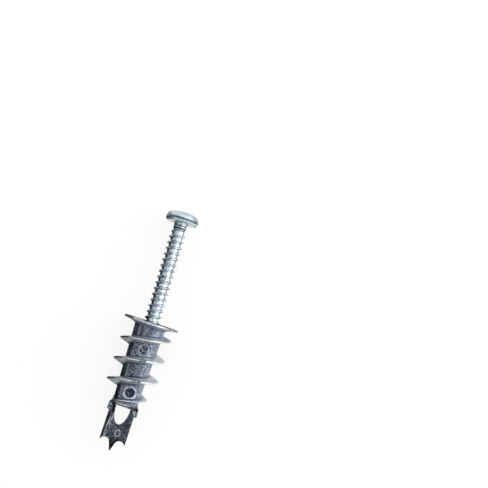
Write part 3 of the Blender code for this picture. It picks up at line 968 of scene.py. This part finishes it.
def bladeWindow():
    half, length = bladeSize["windowHalfWidth"], bladeSize["windowLength"]
    tubeEnd, steps = -anchorSize["tubeLength"], 32
    angles = [math.pi * i / steps for i in range(1, steps)]
    around = [(half * math.cos(angle), tubeEnd - length * math.sin(angle)) for angle in angles]
    return platePiece("window", [(half, tubeEnd + 0.5), *around, (-half, tubeEnd + 0.5)], 3.0)


def bladePlate():
    plate = platePiece("bladePlate", bladeOutline(), bladeSize["halfThickness"])
    joinWith(plate, bladeWedge(), "INTERSECT")
    joinWith(plate, bladeRib(0.0))
    joinWith(plate, bladeRib(math.pi))
    joinWith(plate, bladeWindow(), "DIFFERENCE")
    bevelEdges(plate, bladeSize["edgeBevel"], degrees=35)
    return cleanMesh(plate)


recessSize = {"span": 6.4, "armWidth": 1.3, "depth": 3.2, "narrowing": 0.75}
boreSize = {"mouthRadius": 2.561, "mouthDepth": 5.95, "boreRadius": 1.75, "boreEnd": 23, "steps": 96}


def taperedArm(size):
    # A cube whose lower end closes in, the arm of a driver recess
    arm = newPiece("recessArm", bpy.ops.mesh.primitive_cube_add, size=1.0, location=(0, 0, 0))
    span, width, depth, narrowing = (size[key] for key in ("span", "armWidth", "depth", "narrowing"))
    for corner in arm.data.vertices:
        low = corner.co.z < 0
        growth = narrowing if low else 1 + (1 - narrowing) / depth
        corner.co = (corner.co.x * span * growth, corner.co.y * width * growth, -depth if low else 1.0)
    return bevelEdges(arm, 0.12, degrees=30)


def crossRecess(piece, size, top):
    for turn in (0.0, math.pi / 2):
        joinWith(piece, movePiece(taperedArm(size), shift=(0, 0, top), turnZ=turn), "DIFFERENCE")


def markBead(name, mark):
    # A ring bent round the tube, half sunk in it
    bead = newPiece(
        name,
        bpy.ops.mesh.primitive_torus_add,
        major_radius=mark["radius"],
        minor_radius=mark["bead"],
        major_segments=48,
        minor_segments=12,
    )
    for corner in bead.data.vertices:
        across, up, out = corner.co
        height = up * mark["tall"] - mark["depth"]
        reach = tubeRadius(height) + out * 0.8
        angle = (across + mark["across"]) / tubeRadius(height)
        corner.co = (reach * math.sin(angle), -reach * math.cos(angle), height)
    return cleanMesh(bead)


def markSink(name, mark):
    reach = tubeRadius(-mark["depth"]) - mark["sink"]
    radius = mark["radius"] - 0.5 * mark["bead"]
    sink = newPiece(name, bpy.ops.mesh.primitive_cylinder_add, vertices=48, radius=radius, depth=2.0)
    for corner in sink.data.vertices:
        across, up, out = corner.co
        corner.co = (across + mark["across"], -reach - 1.0 - out, up * mark["tall"] - mark["depth"])
    return cleanMesh(sink)


def bladeRing(mark):
    # A plain ejector ring on the blade's face
    ring = newPiece(
        "bladeRing",
        bpy.ops.mesh.primitive_torus_add,
        major_radius=mark["radius"],
        minor_radius=mark["bead"],
        major_segments=40,
        minor_segments=10,
    )
    face = bladeSize["halfThickness"] * bladeSize["faceShare"]
    for corner in ring.data.vertices:
        across, up, out = corner.co
        corner.co = (across + mark["across"], -face - out * 0.8, up * mark["tall"] - mark["depth"])
    return cleanMesh(ring)


def borePiece():
    size = boreSize
    mouth, bore, depth = size["mouthRadius"], size["boreRadius"], -size["mouthDepth"]
    cone = depth - mouth + bore
    profile = [(0, 1), (mouth, 1), (mouth, depth), (bore, cone)]
    profile += [(bore, -size["boreEnd"]), (0, -size["boreEnd"])]
    return turnedPiece("bore", profile, size["steps"])


def makeAnchor():
    body = anchorBody()
    print("stage: thread and tube")
    joinWith(body, flangePiece())
    joinWith(body, bladePlate())
    joinWith(body, shoulderBlock(0.0))
    joinWith(body, shoulderBlock(math.pi))
    print("stage: flange and blade joined")
    for name in ("upper", "lower"):
        mark = marks[name]
        joinWith(body, markSink(name + "Sink", mark), "DIFFERENCE")
        joinWith(body, markBead(name + "Bead", mark))
    joinWith(body, bladeRing(marks["blade"]))
    joinWith(body, borePiece(), "DIFFERENCE")
    crossRecess(body, recessSize, 0.0)
    placePiece(body, anchorPlace, "anchor", castZinc)
    print("stage: anchor placed,", len(body.data.polygons), "faces")


castZinc = castZincMaterial()
makeAnchor()

headRecess = {"span": 4.8, "armWidth": 1.1, "depth": 2.2, "narrowing": 0.45}


def screwThreadRadius(height, offset):
    size = screwSize
    tip, pointEnd = -size["startedDepth"], size["pointLength"] - size["startedDepth"]
    root = size["rootRadius"] * math.sin(math.pi / 2 * share(height, tip, pointEnd))
    root = max(root, size["pointRadius"])
    neckEnd = size["standout"] - size["neckLength"]
    rising = share(neckEnd + 0.2 - height, 0.0, size["runOut"])
    rising *= size["pointThread"] + (1 - size["pointThread"]) * share(height, tip + 0.6, pointEnd)
    crest = root + (size["crestRadius"] - size["rootRadius"]) * rising
    away = max(abs(offset) - size["crestHalfWidth"], 0.0)
    return smoothMax(root, crest - away / size["flankSlope"], size["rootBlend"])


def screwShank():
    size = screwSize
    pitch, crest = size["pitch"], size["crestHeight"]
    low, high = -size["startedDepth"], size["standout"] - size["neckLength"] + size["neckOverlap"]
    turns = math.ceil((high - low) / pitch) + 3
    lowestCrest = crest - pitch * math.ceil((crest - low) / pitch + 1.5)
    return helicalSkin("screwSteel", size, lowestCrest, turns, low, high, screwThreadRadius)


def panHead():
    size = screwSize
    under, radius, power = size["standout"], size["headRadius"], size["crownPower"]
    edge = under + size["edgeHeight"]
    crown = size["headHeight"] - size["edgeHeight"]
    profile = []
    steps = 24
    for i in range(steps + 1):
        turn = math.pi / 2 * i / steps
        out = math.sin(turn) ** power if i else 0.0
        up = math.cos(turn) ** power if i < steps else 0.0
        profile.append((radius * out, edge + crown * up))
    flat = radius - size["edgeBevel"]
    profile += [(radius - 0.03, edge - 0.25), (radius - 0.12, under + 0.2)]
    profile += [(flat, under + 0.03), (flat - 0.1, under)]
    neck, fillet = size["neckRadius"], size["neckFillet"]
    for turn in (math.pi / 2 * i / 8 for i in range(9)):
        profile.append((neck + fillet * (1 - math.sin(turn)), under - fillet * (1 - math.cos(turn))))
    neckEnd = under - size["neckLength"]
    profile += [(neck, neckEnd + 0.15), (neck - size["neckChamfer"], neckEnd), (0.0, neckEnd)]
    return turnedPiece("panHead", profile, size["headSteps"])


def makeScrew():
    shank = screwShank()
    joinWith(shank, panHead())
    crossRecess(shank, headRecess, screwSize["standout"] + screwSize["headHeight"])
    placePiece(shank, screwPlace, "screw", zincPlate)
    print("stage: screw placed,", len(shank.data.polygons), "faces")


zincPlate = zincPlateMaterial()
makeScrew()

# The pale floor shows nearly white, and still takes the pair's shadow
floorSize = {"side": 6.0, "colour": (0.97, 0.97, 0.97), "roughness": 0.9, "lift": 0.84}
floor = newPiece("floor", bpy.ops.mesh.primitive_plane_add, size=floorSize["side"], location=(0, 0, 0))
paper, paperTree, paperShader = newMaterial("paper")
paperShader.inputs["Base Color"].default_value = (*floorSize["colour"], 1)
paperShader.inputs["Roughness"].default_value = floorSize["roughness"]
paperShader.inputs["Specular IOR Level"].default_value = 0.0
rays = paperTree.nodes.new("ShaderNodeLightPath").outputs
seen = maths(paperTree, "MAXIMUM", rays["Is Camera Ray"], rays["Is Glossy Ray"])
seen = maths(paperTree, "MAXIMUM", seen, rays["Is Transmission Ray"])
white = addNode(paperTree, "ShaderNodeEmission", {"Color": (1, 1, 1, 1), "Strength": 1.0}).outputs[0]
lifted = maths(paperTree, "MULTIPLY", seen, floorSize["lift"])
paperMix = addNode(paperTree, "ShaderNodeMixShader", {0: lifted, 1: paperShader.outputs[0], 2: white})
paperTree.links.new(paperMix.outputs[0], paperTree.nodes["Material Output"].inputs["Surface"])
floor.data.materials.append(paper)

studio = {"sky": (0.97, 0.98, 1.0), "strength": 0.78}
world = bpy.data.worlds.new("studio")
bpy.context.scene.world = world
world.use_nodes = True
worldShader = world.node_tree.nodes["Background"]
worldShader.inputs["Color"].default_value = (*studio["sky"], 1)
worldShader.inputs["Strength"].default_value = studio["strength"]

lamps = {
    "keyBox": {"toward": (1.0, 0.2, 0.62), "distance": 0.9, "size": (0.9, 0.9), "power": 5.2},
    "topBox": {"toward": (0.10, 0.9, 1.0), "distance": 1.1, "size": (0.6, 0.6), "power": 1.2},
}
for lampName, lamp in lamps.items():
    lampData = bpy.data.lights.new(lampName, "AREA")
    lampData.shape = "RECTANGLE"
    lampData.size, lampData.size_y = lamp["size"]
    lampData.energy = lamp["power"]
    lampObject = bpy.data.objects.new(lampName, lampData)
    bpy.context.scene.collection.objects.link(lampObject)
    across, up, high = lamp["toward"]
    direction = (rightward * across + upward * up + Vector((0, 0, high))).normalized()
    lampObject.location = direction * lamp["distance"]
    lampObject.rotation_euler = direction.to_track_quat("Z", "Y").to_euler()

# Two black cards that only reflections see darken the metal's edges. The left one is raised
# along its far side.
blackCard, cardTree, cardShader = newMaterial("blackCard")
cardShader.inputs["Base Color"].default_value = (0.004, 0.004, 0.005, 1)
cardShader.inputs["Roughness"].default_value = 0.9
cardShader.inputs["Specular IOR Level"].default_value = 0.0
cardLift = 0.00005
cards = {
    "leftCard": {"near": 0.0046, "far": 0.045, "start": -0.050, "end": 0.0290, "height": 0.018},
    "rightCard": {"near": -0.0030, "far": -0.0085, "start": 0.006, "end": 0.0275, "height": cardLift},
}
for cardName, size in cards.items():
    card = newPiece(cardName, bpy.ops.mesh.primitive_plane_add, size=1.0, location=(0, 0, 0))
    bpy.ops.object.mode_set(mode="EDIT")
    bpy.ops.mesh.select_all(action="SELECT")
    bpy.ops.mesh.subdivide(number_cuts=1)
    bpy.ops.object.mode_set(mode="OBJECT")
    for corner in card.data.vertices:
        along = size["start"] + (corner.co.x + 0.5) * (size["end"] - size["start"])
        away = size["near"] if corner.co.y < -0.1 else size["far"]
        corner.co = (along, away, size["height"] if corner.co.y > 0.1 else cardLift)
    card.data.materials.append(blackCard)
    card.visible_camera = False
    card.visible_diffuse = False
    card.visible_shadow = False
print("stage: floor and lamps")

bpy.context.scene.view_settings.view_transform = "Standard"
